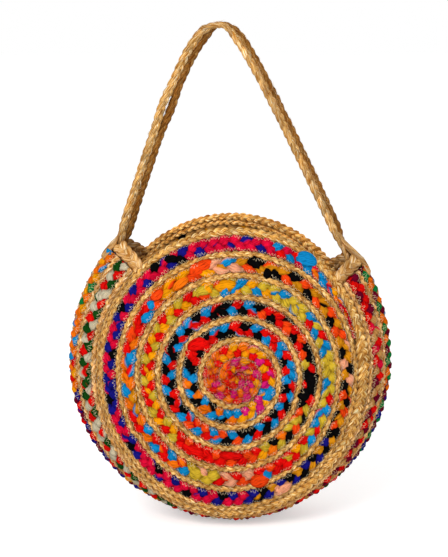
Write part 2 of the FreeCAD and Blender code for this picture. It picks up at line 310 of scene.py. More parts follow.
def coil_edges():
    """Inner and outer edge along the skin of the rag and the jute braid, at every quarter station."""
    count = jute_end * fine + 1
    turn = turn_stations * fine
    rag = np.full((count, 2), np.nan)
    jute = np.full((count, 2), np.nan)
    rim = panel_radius - braid_gap / 2
    for step in range(count):
        station = step / fine
        below = step - turn
        if station <= rag_end:
            if below < 0:
                share = step / turn
                climbed = share - step_share * math.sin(2 * math.pi * share) / (2 * math.pi)
                rag[step] = rag_hole, max(rag_width * climbed, 2 * rag_hole)
            else:
                under = rag[below][1] if np.isnan(jute[below][1]) else jute[below][1]
                left = smooth((rag_end - station + 1) / (rag_taper + 1))
                full = under + braid_gap + rag_width * (tail_share + (1 - tail_share) * left)
                rag[step] = under + braid_gap, min(full, rim - jute_width - braid_gap)
        if station >= jute_start:
            under = rag[step][1] if station <= rag_end else jute[below][1]
            grown = smooth(max((station - jute_start + 1) / (jute_taper + 1), tail_share))
            natural = under + braid_gap + jute_width * grown
            widen = smooth((station - rim_widen_start) / (rim_widen_end - rim_widen_start))
            jute[step] = under + braid_gap, natural + (rim - natural) * widen
    return rag, jute


rag_edges, jute_edges = coil_edges()
coil_stations = np.arange(jute_end * fine + 1) / fine
coil_angles = coil_start_angle - 2 * math.pi / turn_stations * coil_stations
print("rag braid reaches %.4f, jute %.4f" % (np.nanmax(rag_edges), np.nanmax(jute_edges)))


# %% A band: a strip of skin that one braid fills
def run_lengths(points):
    """The length of a line of points up to each of them."""
    return np.concatenate([[0], np.cumsum(np.linalg.norm(np.diff(points, axis=0), axis=1))])


def coil_band(edges, first, last):
    """Angle and edges along one coil, against the length of its middle line."""
    span = slice(int(first * fine), int(last * fine) + 1)
    return skin_band(coil_angles[span], edges[span, 0], edges[span, 1], coil_stations[span])


def skin_band(angles, inner, outer, stations):
    """A band from its angles and edges, with the length along its middle line."""
    middle = on_skin(angles, (inner + outer) / 2, np.zeros(len(angles)))
    return {"length": run_lengths(middle), "angle": angles, "inner": inner, "outer": outer,
            "station": stations}


def band_places(band, along, across, height, turned=False):
    """Points on a band: across runs from -1 at the inner edge to 1 at the outer one."""
    angle = np.interp(along, band["length"], band["angle"])
    inner = np.interp(along, band["length"], band["inner"])
    outer = np.interp(along, band["length"], band["outer"])
    return on_skin(angle, (inner + outer) / 2 + across * (outer - inner) / 2, height, turned)


rag_band = coil_band(rag_edges, rag_start, rag_end)
jute_band = coil_band(jute_edges, jute_start, jute_end)
for braid_name, band in (("rag", rag_band), ("jute", jute_band)):
    print("length of", braid_name, "braid in a panel %.2f m" % band["length"][-1])

# %% [markdown]
# ## Finishes
# Three finishes cover the bag. Rag braid is soft cotton cloth: its colour comes from an attribute that every
# strand carries, and its creases run along the strand, so they read a map of the strand and not of space.
# Jute is a hairy straw-coloured fibre with pale and dark streaks along each strand. The sewing thread is a
# thin cream cotton. None of them is one flat colour.


# %% Helpers for finishes
def paint(red, green, blue):
    """A colour given 0 to 255, in the linear numbers that a shader wants."""
    shares = [value / 255 for value in (red, green, blue)]
    return tuple(share / 12.92 if share <= 0.04045 else ((share + 0.055) / 1.055) ** 2.4 for share in shares)


def new_finish(name, roughness, specular):
    """An empty finish with its nodes, its links and its shader."""
    finish = bpy.data.materials.new(name)
    finish.use_nodes = True
    shader = finish.node_tree.nodes["Principled BSDF"]
    shader.inputs["Roughness"].default_value = roughness
    shader.inputs["Specular IOR Level"].default_value = specular
    return finish, finish.node_tree.nodes, finish.node_tree.links, shader


def strand_noise(nodes, links, scale, detail):
    """A noise stretched along the strand: scale gives its grain along and around the strand."""
    strand_map = nodes.new("ShaderNodeUVMap")
    strand_map.uv_map = "strand"
    mapping = nodes.new("ShaderNodeMapping")
    mapping.inputs["Scale"].default_value = (scale[0], scale[1], 1)
    noise = nodes.new("ShaderNodeTexNoise")
    noise.inputs["Scale"].default_value = 1.0
    noise.inputs["Detail"].default_value = detail
    links.new(strand_map.outputs["UV"], mapping.inputs["Vector"])
    links.new(mapping.outputs["Vector"], noise.inputs["Vector"])
    return noise.outputs["Fac"]


def ramp(nodes, links, factor, stops):
    """A colour ramp over a factor."""
    made = nodes.new("ShaderNodeValToRGB")
    elements = made.color_ramp.elements
    while len(elements) < len(stops):
        elements.new(0.5)
    for element, (place, colour) in zip(elements, stops):
        element.position = place
        element.color = (*colour, 1)
    links.new(factor, made.inputs["Fac"])
    return made.outputs["Color"]


def multiply(nodes, links, first, second):
    """Two colours multiplied."""
    mix = nodes.new("ShaderNodeMix")
    mix.data_type = "RGBA"
    mix.blend_type = "MULTIPLY"
    mix.inputs["Factor"].default_value = 1.0
    links.new(first, mix.inputs["A"])
    links.new(second, mix.inputs["B"])
    return mix.outputs["Result"]


def raise_grain(nodes, links, shader, heights, strength, distance):
    """Bumps in the shader, one over the other."""
    normal = None
    for height in heights:
        bump = nodes.new("ShaderNodeBump")
        bump.inputs["Strength"].default_value = strength
        bump.inputs["Distance"].default_value = distance
        links.new(height, bump.inputs["Height"])
        if normal is not None:
            links.new(normal, bump.inputs["Normal"])
        normal = bump.outputs["Normal"]
    links.new(normal, shader.inputs["Normal"])


# %% Rag cloth
def make_rag_cloth():
    """Cotton strips: the strand's own colour, darker in the hollows of the creases along it as painted shade,
    with a fine weave.
    """
    finish, nodes, links, shader = new_finish("rag_cloth", 0.85, 0.01)
    colour = nodes.new("ShaderNodeAttribute")
    colour.attribute_name = "strand_colour"
    crease = strand_noise(nodes, links, (110, 620), 4)
    weave = strand_noise(nodes, links, (2600, 2600), 1)
    # Painted shade: the crease noise that raises the bumps also darkens the colour in their hollows, down to
    # about a third.
    uneven = ramp(nodes, links, crease,
                  [(0.30, (0.36,) * 3), (0.50, (0.87,) * 3), (0.75, (1.06,) * 3)])
    shade = multiply(nodes, links, colour.outputs["Color"], uneven)
    links.new(shade, shader.inputs["Base Color"])
    raise_grain(nodes, links, shader, [crease, weave], 0.6, 0.0013)
    return finish


rag_cloth = make_rag_cloth()


# %% Jute
def make_jute():
    """Jute fibre: straw-coloured streaks along the strand, tinted by the strand's own tone."""
    finish, nodes, links, shader = new_finish("jute_fibre", 0.85, 0.04)
    tone = nodes.new("ShaderNodeAttribute")
    tone.attribute_name = "strand_colour"
    fibre = strand_noise(nodes, links, (70, 1100), 6)
    patch = strand_noise(nodes, links, (45, 160), 2)
    streaks = ramp(nodes, links, fibre,
                   [(0.30, paint(100, 44, 6)), (0.43, paint(181, 120, 48)),
                    (0.55, paint(220, 178, 113)), (0.68, paint(238, 228, 206))])
    patches = ramp(nodes, links, patch,
                   [(0.30, (0.60, 0.47, 0.36)), (0.50, (1.0, 1.0, 1.0)), (0.72, (1.17, 1.18, 1.19))])
    straw = multiply(nodes, links, streaks, patches)
    links.new(multiply(nodes, links, straw, tone.outputs["Color"]), shader.inputs["Base Color"])
    raise_grain(nodes, links, shader, [fibre], 0.75, 0.0008)
    return finish


jute_fibre = make_jute()


# %% Sewing thread
def make_thread():
    """Cream cotton thread with a slight twist in its shade."""
    finish, nodes, links, shader = new_finish("cream_thread", 0.7, 0.3)
    twist = strand_noise(nodes, links, (900, 1800), 2)
    links.new(ramp(nodes, links, twist, [(0.3, paint(208, 180, 132)), (0.7, paint(244, 226, 190))]),
              shader.inputs["Base Color"])
    return finish


cream_thread = make_thread()
print("finishes", rag_cloth.name, jute_fibre.name, cream_thread.name)

# %% [markdown]
# ## One braid from flat strips
# A maker plaits three strips of cloth or three bundles of fibre. A strand could be a curve with a bevel, but
# then every lobe would be the same round tube. So each strand starts as a flat strip: a grid that is one
# lobe long, repeated to length by one Array and to three strands by another. The strip is then rolled into
# a flattened tube, swayed from edge to edge over and under the other two, and laid on its band of skin.
# While it is rolled, each lobe can swell, crease and take its own colour, and painted shade darkens the
# strand where it lies low in the plait.

# %% Sizes of the plaits
# shade in each plait is painted shade: per channel, the colour's factor where a strand lies deepest in the
# crevices of the braid.
rag_plait = {"period": 0.040, "sway": 0.60, "lift": 0.0020, "half_width": 0.0051, "half_thick": 0.0031,
             "swell": 0.17, "fold": 0.10, "shade": (0.24, 0.22, 0.22), "around": 12, "along": 12,
             "half_band": rag_width / 2}
jute_plait = {"period": 0.025, "sway": 0.52, "lift": 0.0015, "half_width": 0.0023, "half_thick": 0.0022,
              "swell": 0.05, "fold": 0.06, "shade": (0.48, 0.30, 0.16), "around": 8, "along": 6,
              "half_band": jute_width / 2}
lobe_first = 0.75 * math.pi
strand_turn = 2 * math.pi / 3
fold_waves = ((3, 0.021), (5, 0.013), (7, 0.009))
fold_drift = 0.35
fold_wander = 0.9
squeeze_limit = 1.15
unshaded_from, unshaded_run = 0.15, 0.85
strand_map_step = 0.37
print("plaits: rag period", rag_plait["period"], "jute period", jute_plait["period"])


# %% Flat strips, repeated to length
def flat_grid(name, along, around):
    """One flat strip of a grid, a unit long and a unit wide."""
    bpy.ops.object.select_all(action="DESELECT")
    bpy.ops.mesh.primitive_grid_add(x_subdivisions=along, y_subdivisions=around, size=1,
                                    location=(0.5, 0.5, 0))
    strip = bpy.context.object
    strip.name = name
    bpy.ops.object.transform_apply(location=True)
    return strip


def repeat_strip(strip, count, offset, joined):
    """The strip repeated by an Array, with its copies joined where they meet or left apart."""
    array = strip.modifiers.new("repeat", "ARRAY")
    array.count = count
    array.use_relative_offset = False
    array.use_constant_offset = True
    array.constant_offset_displace = offset
    array.use_merge_vertices = joined
    array.merge_threshold = 0.0001
    bpy.ops.object.modifier_apply(modifier=array.name)


def flat_strips(name, lobes, plait):
    """Three flat strips, each a row of grids, one grid to a lobe."""
    strips = flat_grid(name, plait["along"], plait["around"])
    repeat_strip(strips, lobes, (1, 0, 0), True)
    repeat_strip(strips, 3, (0, 2, 0), True)
    return strips


def vertex_places(piece):
    """The places of a piece's vertices, one to a row."""
    places = np.empty(len(piece.data.vertices) * 3)
    piece.data.vertices.foreach_get("co", places)
    return places.reshape(-1, 3)


def read_flat(strips, lobes):
    """Each vertex's share of the length, its strand and its share of the way around."""
    flat = vertex_places(strips)
    strand = np.floor(flat[:, 1] / 2 + 0.1).astype(int)
    return flat[:, 0] / lobes, strand, flat[:, 1] - 2 * strand


# %% Roll the strips and plait them
def plait_strands(plait, along, phase, strand, around, squeeze, lobe_size, seed):
    """Along, across and height of every vertex of three plaited strands."""
    turn = phase + strand_turn * strand
    ring = 2 * math.pi * (around - 0.25)
    half_band = plait["half_band"]
    reach = plait["sway"] * half_band
    slant = np.arctan(reach * 2 * math.pi / plait["period"] * np.cos(turn))
    lobe, share = lobe_places(turn)
    size = 1 + (lobe_size[strand, lobe] - 1) * np.sin(math.pi * share) ** 2
    full = size * (1 - plait["swell"] * np.cos(4 * turn))
    dice = np.random.default_rng(seed)
    folds = np.zeros(len(along))
    for waves, length in fold_waves:
        starts = dice.uniform(0, 2 * math.pi, 3)[strand]
        lengths = 2 * math.pi / length * dice.uniform(0.7, 1.3, 3)[strand]
        wander = fold_wander * np.sin(along * lengths)
        folds += np.sin(waves * ring + along * lengths * fold_drift + starts + wander)
    full = full * (1 + plait["fold"] * folds)
    out_along = plait["half_width"] * full * np.cos(ring)
    placed_along = along - np.sin(slant) * out_along * squeeze
    across = reach * np.sin(turn) + np.cos(slant) * out_along
    height = plait["lift"] * np.sin(2 * turn) + plait["half_thick"] * full * np.sin(ring)
    return placed_along, across / half_band, height * squeeze


def lobe_places(turn):
    """Which lobe of its strand a place belongs to, and its share of the way through it."""
    count = (turn - lobe_first) / math.pi + 2
    lobe = np.floor(count).astype(int)
    return lobe, count - lobe


def close_strands(piece, finish):
    """Seams and ends of the rolled strips closed, faces outward, smooth, with a finish."""
    bpy.ops.object.select_all(action="DESELECT")
    piece.select_set(True)
    bpy.context.view_layer.objects.active = piece
    bpy.ops.object.mode_set(mode="EDIT")
    bpy.ops.mesh.select_all(action="SELECT")
    bpy.ops.mesh.remove_doubles(threshold=0.000005)
    bpy.ops.mesh.fill_holes(sides=0)
    bpy.ops.mesh.normals_make_consistent(inside=False)
    bpy.ops.object.mode_set(mode="OBJECT")
    bpy.ops.object.shade_smooth()
    piece.data.materials.clear()
    piece.data.materials.append(finish)


def dress_strands(piece, points, map_along, map_around, colours):
    """Places, strand map and strand colours written into the mesh."""
    mesh = piece.data
    corners = np.empty(len(mesh.loops), dtype=np.int32)
    mesh.loops.foreach_get("vertex_index", corners)
    strand_map = mesh.uv_layers[0]
    strand_map.name = "strand"
    strand_map.data.foreach_set("uv", np.stack([map_along, map_around], axis=-1)[corners].ravel())
    tint = mesh.attributes.new("strand_colour", "FLOAT_COLOR", "POINT")
    tint.data.foreach_set("color", np.column_stack([colours, np.ones(len(points))]).ravel())
    mesh.vertices.foreach_set("co", points.ravel())
    mesh.update()


# %% Lay one length of braid on a band
def lay_braid(name, band, start, end, plait, phase, look, place, finish):
    """A length of braid between two places along a band. place turns along, across and height into points."""
    lobes = max(1, round((end - start) / plait["period"] * 2))
    piece = flat_strips(name, lobes, plait)
    share, strand, around = read_flat(piece, lobes)
    along = start + share * (end - start)
    width = np.interp(along, band["length"], band["outer"] - band["inner"])
    squeeze = np.minimum(width / (2 * plait["half_band"]), squeeze_limit)
    turn = np.interp(along, band["length"], phase)
    laid = plait_strands(plait, along, turn, strand, around, squeeze, look["size"], look["seed"])
    points = place(*laid)
    lobe = lobe_places(turn + strand_turn * strand)[0]
    # Painted shade: a strand's colour is darkened at its edges and wherever it dips low in the plait, in the
    # crevices between lobes, down to the plait's shade factor.
    relief = laid[2] / (plait["lift"] + plait["half_thick"])
    unshaded = smooth((np.abs(relief) + unshaded_from) / unshaded_run)[:, None]
    painted_shade = np.array(plait["shade"]) * (1 - unshaded) + unshaded
    colours = strand_colours(look, strand, lobe, around) * painted_shade
    girth = 2 * math.pi * plait["half_width"]
    dress_strands(piece, points, along + strand * strand_map_step, around * girth, colours)
    close_strands(piece, finish)
    return piece


def strand_colours(look, strand, lobe, around):
    """Each lobe's colour, with a stripe of its second colour where it has one."""
    ring = 2 * math.pi * around
    striped = np.cos(ring - look["stripe_at"][strand, lobe]) > look["stripe_from"][strand, lobe]
    return np.where(striped[:, None], look["second"][strand, lobe], look["colour"][strand, lobe])


def even_phase(band, period):
    """The plait's phase along a band, from one period or from the period at each place."""
    rate = np.broadcast_to(1 / np.asarray(period), band["length"].shape)
    middle = (rate[1:] + rate[:-1]) / 2
    return 2 * math.pi * np.concatenate([[0], np.cumsum(middle * np.diff(band["length"]))])


# %% [markdown]
# ## The colours of the rag braid
# The rag braid is made of leftover strips, so three colours run together for a while, then others are
# knotted in. The list goes along the coil, counted in twenty-fourths of a turn from the middle, and names
# the three strands' colours from each place on. Some lobes show a fold of a second strip, and a few thick
# ones stand out: they are listed too, by their place and by the edge they lie at.

# %% Strips by name
strips_by_name = {
    "red": paint(232, 16, 12), "red_orange": paint(250, 72, 18), "orange": paint(252, 118, 16),
    "amber": paint(250, 160, 12), "ochre": paint(222, 142, 20), "mustard": paint(214, 178, 48),
    "blue": paint(18, 140, 204), "navy": paint(26, 24, 128), "black": paint(11, 10, 11),
    "crimson": paint(228, 16, 58), "pink": paint(220, 30, 120), "peach": paint(248, 166, 126),
    "cream": paint(206, 194, 164), "green": paint(20, 128, 60), "dark_green": paint(22, 72, 20),
    "maroon": paint(112, 8, 38), "tan": paint(196, 142, 78),
}
panel_stretches = [
    (0, "red pink amber"), (20, "red orange red"), (30, "red amber pink"), (40, "orange red pink"),
    (50, "orange amber red"), (58, "red amber pink"), (63.5, "pink blue amber"), (65.5, "blue pink amber"),
    (68.2, "black orange blue"), (74.5, "red blue black"), (79, "blue black red"), (84, "black blue red"),
    (91, "red_orange blue black"), (93, "red red_orange blue"), (95.2, "blue black red"),
    (103, "red black blue"), (105, "red black red_orange"), (109, "black mustard red"),
    (111.5, "black mustard red_orange"), (113, "mustard black orange"), (114.5, "red_orange amber red"),
    (115.4, "red red_orange red"), (118.7, "red mustard amber"), (122, "amber red mustard"),
    (126, "mustard red_orange red"), (127.5, "mustard amber blue"), (129.5, "mustard blue mustard"),
    (131.5, "mustard blue red"), (133, "mustard mustard blue"), (134.5, "mustard blue red"),
    (137, "mustard amber red"), (138.3, "red red_orange blue"), (139.4, "red_orange red peach"),
    (140.6, "mustard peach mustard"), (141.8, "orange blue red"), (144.5, "orange ochre blue"),
    (146, "orange blue red"), (148.7, "red_orange orange amber"), (151.2, "peach ochre blue"),
    (152.4, "black ochre red_orange"), (157, "black ochre peach"), (158.5, "black ochre red_orange"),
    (160, "navy black ochre"), (163.5, "crimson navy crimson"), (168, "crimson crimson navy"),
    (177.2, "red crimson blue"), (178, "blue crimson orange"), (180, "orange crimson red"),
]
panel_lumps = [
    (76.7, -1, 1.75, "red"), (75.8, 1, 1.35, "red"), (126.9, 1, 1.6, "amber"), (127.6, -1, 1.4, "blue"),
    (178.2, 1, 1.5, "blue"), (178.9, -1, 1.5, "blue"), (179.6, 1, 1.6, "amber"),
    (150.5, 1, 1.5, "red_orange"), (147.2, 1, 1.4, "red_orange"), (110.1, 1, 1.5, "black"),
    (111.2, -1, 1.4, "black"), (162.5, 1, 1.4, "peach"), (64.2, 1, 1.4, "blue"),
    (146.4, -1, 1.3, "blue"), (133.6, 1, 1.5, "mustard"), (152.8, 1, 1.5, "black"), (116.6, 1, 1.4, "red"),
    (117.4, -1, 1.4, "red"), (140.9, 1, 1.3, "mustard"), (137.8, 1, 1.5, "red"),
]
black_lobes = [(164.3, -1), (165.4, 1), (166.6, -1), (167.6, 1), (169.3, 1), (170.6, -1), (171.9, 1),
               (173.4, 1), (174.2, -1)]
panel_lumps += [(place, side, 1.0, "black") for place, side in black_lobes]
back_stretches = [entry for entry in panel_stretches if not 156 < entry[0] < 172]
back_stretches = sorted(back_stretches + [(156, "tan ochre tan"), (171.5, "crimson navy black")])
print("strips", len(strips_by_name), "stretches", len(panel_stretches), "lumps", len(panel_lumps))


# %% What every lobe looks like
rag_fades = (0.86, 1.08)
rag_sizes = (0.90, 1.20)
rag_stripe_chance = 0.32
rag_stripe_froms = (0.3, 0.8)
no_stripe = 2.0
jute_tones = (0.72, 1.22)
jute_tint = (1.0, 0.99, 0.97)
jute_second_share = 0.86
jute_sizes = (0.94, 1.10)
jute_stripe_froms = (0.1, 1.2)


def lobe_centres(band, phase):
    """Where each strand's lobes come to the top: place along the band, and the edge they lean to."""
    count = int(phase[-1] / math.pi) + 7
    turn = lobe_first + (np.arange(count) - 1.5) * math.pi
    along = np.stack([np.interp(turn - strand_turn * strand, phase, band["length"]) for strand in range(3)])
    return along, np.sign(np.sin(turn))


def rag_look(band, phase, stretches, lumps, seed):
    """Size, colours and stripes of the lobes of a rag braid."""
    along, edge = lobe_centres(band, phase)
    station = np.interp(along, band["length"], band["station"])
    starts = np.array([start for start, names in stretches])
    trios = np.array([[strips_by_name[name] for name in names.split()] for start, names in stretches])
    stretch = np.clip(np.searchsorted(starts, station, side="right") - 1, 0, len(starts) - 1)
    strand = np.arange(3)[:, None]
    dice = np.random.default_rng(seed)
    shape = station.shape
    fade = dice.uniform(*rag_fades, shape)[..., None]
    other = (strand + dice.integers(1, 3, shape)) % 3
    look = {"size": dice.uniform(*rag_sizes, shape), "colour": trios[stretch, strand] * fade, "seed": seed,
            "second": trios[stretch, other] * fade, "stripe_at": dice.uniform(0, 2 * math.pi, shape)}
    striped = dice.random(shape) < rag_stripe_chance
    look["stripe_from"] = np.where(striped, dice.uniform(*rag_stripe_froms, shape), no_stripe)
    for place, side, size, name in lumps:
        apart = np.abs(station - place) + np.where(edge == side, 0, 100)
        found = np.unravel_index(np.argmin(apart), shape)
        look["size"][found] = size
        look["colour"][found] = strips_by_name[name]
        look["stripe_from"][found] = no_stripe
    return look


def jute_look(band, phase, seed, tint_and_painted_light=1.0):
    """Tones of the lobes of a jute braid: some bundles are paler, some darker. tint_and_painted_light
    multiplies them all: the jute's own tint on most braids, painted light on the back panel and painted shade
    on the strap's back braid.
    """
    shape = lobe_centres(band, phase)[0].shape
    dice = np.random.default_rng(seed)
    tone = dice.uniform(*jute_tones, shape)[..., None] * np.array(jute_tint) * np.array(tint_and_painted_light)
    return {"size": dice.uniform(*jute_sizes, shape), "colour": tone, "second": tone * jute_second_share,
            "stripe_at": dice.uniform(0, 2 * math.pi, shape),
            "stripe_from": dice.uniform(*jute_stripe_froms, shape), "seed": seed}


# %% [markdown]
# ## The two panels
# The back panel is the front one turned upside down to face the other way, as a second coil sewn the same
# way would be: its double row of jute comes to the top, where it shows over the front lip. Each length of
# braid of the solid model is replaced by its plaited piece.


# %% Lay the coils
def on_body(piece, body, slot, *nodes):
    """The piece rides on a body and stands for its solids, which are hidden; its slot is not used."""
    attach(piece, body)
    if nodes:
        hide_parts(*nodes)


def tell_faces(piece):
    """The faces of a finished piece, printed."""
    print(piece.name, len(piece.data.polygons), "faces")


slot_of_node = {entry["node"]: entry["material_slot"] for entry in frame["record"]["subparts"]}
# The front panel's tint is the jute's own colour; the back panel's much paler one is painted light, which
# brightens the back lip where it lies in shade inside the mouth.
panel_jute_tints_and_painted_light = {"front": (1.07, 1.06, 0.84), "back": (1.66, 1.60, 1.22)}
rag_periods = np.interp(rag_band["station"], [6, 40, 72, 100, 135, 144, 149, 154, 160],
                        [0.021, 0.030, 0.038, 0.039, 0.042, 0.048, 0.062, 0.050, 0.040])
rag_phase = even_phase(rag_band, rag_periods)
jute_periods = np.interp(jute_band["station"], [160, 174], [jute_plait["period"], 0.028])
jute_phase = even_phase(jute_band, jute_periods)
rag_cuts = np.interp([rag_start] + rag_joins + [rag_end], rag_band["station"], rag_band["length"])
rag_names = ["rag_centre"] + ["rag_ring_%d" % ring for ring in range(1, len(rag_cuts) - 1)]
panel_pieces = {}
for side, turned, seed in (("front", False, 11), ("back", True, 23)):
    stretches = panel_stretches if side == "front" else back_stretches
    look = rag_look(rag_band, rag_phase, stretches, panel_lumps, seed)
    panel_pieces[side] = []
    for rag_name, start, end in zip(rag_names, rag_cuts[:-1], rag_cuts[1:]):
        node = side + "_" + rag_name
        piece = lay_braid(node + "_plait", rag_band, start, end, rag_plait, rag_phase, look,
                          lambda *laid: band_places(rag_band, *laid, turned), rag_cloth)
        on_body(piece, "bag", slot_of_node[node], node)
        panel_pieces[side].append(piece)
    look = jute_look(jute_band, jute_phase, seed + 1, panel_jute_tints_and_painted_light[side])
    node = side + "_jute_coil"
    piece = lay_braid(node + "_plait", jute_band, 0, jute_band["length"][-1], jute_plait, jute_phase, look,
                      lambda *laid: band_places(jute_band, *laid, turned), jute_fibre)
    on_body(piece, "bag", slot_of_node[node], node)
    panel_pieces[side].append(piece)
    print(side, "panel:", sum(len(piece.data.polygons) for piece in panel_pieces[side]), "faces")

# %% [markdown]
# ## Puffed lobes
# Where a strip ends, its maker folds the end over and tucks it under, and a puffed lobe stands out of the
# row. Each puff is a ball drawn out to its length and width, turned towards the row's edge by some degrees
# and laid on the row. Folds run from end to end over it. The list gives each one's place along the coil and
# across the row, its half length and half width, its turn and its strip.

# %% Puffed lobes
panel_puffs = [
    (178.25, 0.75, 0.0150, 0.0098, 28, "blue"), (76.75, 0.30, 0.0150, 0.0086, -38, "red"),
    (127.60, 0.20, 0.0142, 0.0072, 0, "amber"), (128.05, -0.20, 0.0095, 0.0036, 45, "blue"),
    (110.30, 0.10, 0.0110, 0.0070, 0, "black"), (111.15, -0.60, 0.0058, 0.0085, 0, "black"),
    (162.35, 0.40, 0.0115, 0.0066, 0, "peach"), (139.05, 0.70, 0.0125, 0.0095, 0, "red_orange"),
    (141.45, 0.00, 0.0082, 0.0078, 0, "mustard"), (140.80, -0.40, 0.0078, 0.0070, 20, "mustard"),
    (117.95, 0.10, 0.0180, 0.0058, 5, "red"), (116.20, -0.50, 0.0170, 0.0052, -5, "red"),
    (64.20, 0.20, 0.0080, 0.0064, 0, "blue"), (150.95, 0.60, 0.0120, 0.0066, 6, "red_orange"),
    (149.05, 0.30, 0.0095, 0.0062, -8, "red_orange"), (149.95, -0.40, 0.0130, 0.0056, 8, "orange"),
    (148.65, 0.00, 0.0058, 0.0062, 0, "blue"), (126.70, 0.40, 0.0110, 0.0064, 0, "mustard"),
    (174.05, 0.20, 0.0088, 0.0058, -20, "black"), (173.50, 0.60, 0.0062, 0.0046, 25, "black"),
    (152.65, 0.50, 0.0076, 0.0052, 10, "black"), (153.20, -0.60, 0.0055, 0.0066, 0, "black"),
]
puff_rise = 0.0030
puff_half_thick = 0.0040
puff_fold = 0.24
puff_fold_waves = (4, 7, 11)
puff_shade = 0.45
puff_map_step = 0.41


def puff(name, turned, station, across, half_length, half_width, turn, strip, seed):
    """One puffed lobe on a panel's rag braid, with painted shade on its underside and sides."""
    bpy.ops.object.select_all(action="DESELECT")
    bpy.ops.mesh.primitive_uv_sphere_add(segments=28, ring_count=16, radius=1)
    piece = bpy.context.object
    piece.name = name
    side, top, length = vertex_places(piece).T
    around = np.arctan2(side, top)
    dice = np.random.default_rng(seed)
    folds = np.zeros(len(side))
    for waves in puff_fold_waves:
        folds += np.sin(waves * around + dice.uniform(0, 6) + dice.uniform(1, 3) * length) / 3
    full = 1 + puff_fold * folds * (1 - length ** 2)
    drawn = half_length * length
    wide = half_width * side * full
    lean = math.radians(turn)
    along = np.interp(station, rag_band["station"], rag_band["length"])
    half_row = np.interp(along, rag_band["length"], rag_band["outer"] - rag_band["inner"]) / 2
    points = band_places(rag_band, along + drawn * math.cos(lean) - wide * math.sin(lean),
                         across + (drawn * math.sin(lean) + wide * math.cos(lean)) / half_row,
                         puff_rise + puff_half_thick * top * full, turned)
    # Painted shade: the puff's colour is darker towards its underside, down to puff_shade.
    painted_shade = puff_shade + (1 - puff_shade) * smooth((top * full + 0.1) / 0.9)
    colours = np.array(strips_by_name[strip]) * painted_shade[:, None] * dice.uniform(0.95, 1.08)
    dress_strands(piece, points, drawn + puff_map_step * seed, around * half_width, colours)
    close_strands(piece, rag_cloth)
    return piece


def join_pieces(pieces):
    """Several pieces made one, under the first one's name."""
    bpy.ops.object.select_all(action="DESELECT")
    for piece in pieces:
        piece.select_set(True)
    bpy.context.view_layer.objects.active = pieces[0]
    bpy.ops.object.join()
    return pieces[0]


back_puffs_end = 150
for side, turned, last in (("front", False, rag_end), ("back", True, back_puffs_end)):
    made = []
    for seed, entry in enumerate(panel_puffs):
        if entry[0] < last:
            made.append(puff(side + "_puffs", turned, *entry, seed))
    puffs = join_pieces(made)
    on_body(puffs, "bag", slot_of_node[side + "_rag_ring_3"])
    tell_faces(puffs)

# %% [markdown]
# ## The gusset
# Nine straight rows run under the bag from one end of the mouth to the other: five of jute with four of
# rag braid between them. A broad, short jute braid is sewn over the ends of the rows, on each side of the
# strap, and its upper edge is the lip of the gusset.

# %% Rows of the gusset
end_braid_width = 0.020
lip_radii = {}
row_ends = {}
for facing, lip_angle in lip_angles.items():
    skin_angle = lip_angle if facing > 0 else math.pi - lip_angle
    lip_point = on_skin(np.array([skin_angle]), np.array([skin_half]), np.zeros(1))[0] - bag_middle
    lip_radii[facing] = math.hypot(lip_point[0], lip_point[2])
    row_ends[facing] = lip_angle - (end_braid_width + 2 * braid_gap) / lip_radii[facing]
gusset_steps = 136
gusset_jute_pale = 1.10
gusset_seed = 40
gusset_rag_plait = {**rag_plait, "half_band": gusset_rag_width / 2, "half_width": 0.0048, "period": 0.044}
gusset_rows = ["jute_a", "rag_1", "jute_b", "rag_2", "jute_c", "rag_3", "jute_d", "rag_4", "jute_e"]
gusset_stretches = {
    "rag_1": [(0.0, "maroon red red"), (0.07, "red crimson tan"), (0.16, "red maroon tan"),
              (0.48, "red cream maroon"), (0.56, "red cream dark_green"), (0.7, "red dark_green cream")],
    "rag_2": [(0.0, "orange green maroon"), (0.08, "maroon orange green"), (0.18, "navy green maroon"),
              (0.3, "maroon dark_green crimson"), (0.55, "amber navy maroon"), (0.66, "navy red maroon"),
              (0.79, "red amber orange"), (0.84, "orange blue orange"), (0.9, "orange amber green"),
              (0.96, "blue amber orange")],
    "rag_3": [(0.0, "blue red amber"), (0.4, "crimson navy black"), (0.7, "orange blue maroon")],
    "rag_4": [(0.0, "red cream dark_green"), (0.5, "red maroon cream")],
}
gusset_angles = np.linspace(row_ends[1], -math.pi - row_ends[-1], gusset_steps + 1)
gusset_shares = np.linspace(0, 1, gusset_steps + 1)
gusset_pieces = []
gusset_seams = [panel_radius]
row_start = panel_radius + braid_gap / 2
for number, row in enumerate(gusset_rows):
    is_rag = row.startswith("rag")
    row_width = gusset_rag_width if is_rag else jute_width
    edges = np.full(len(gusset_angles), row_start)
    band = skin_band(gusset_angles, edges, edges + row_width, gusset_shares)
    plait = gusset_rag_plait if is_rag else jute_plait
    phase = even_phase(band, plait["period"])
    if is_rag:
        look = rag_look(band, phase, gusset_stretches[row], [], gusset_seed + number)
    else:
        look = jute_look(band, phase, gusset_seed + number, gusset_jute_pale)
    node = "gusset_" + row
    piece = lay_braid(node + "_plait", band, 0, band["length"][-1], plait, phase, look,
                      lambda *laid: band_places(band, *laid), rag_cloth if is_rag else jute_fibre)
    on_body(piece, "bag", slot_of_node[node], node)
    gusset_pieces.append(piece)
    row_start += row_width + braid_gap
    gusset_seams.append(row_start - braid_gap / 2)
print("gusset rows", len(gusset_pieces), "seams", len(gusset_seams))

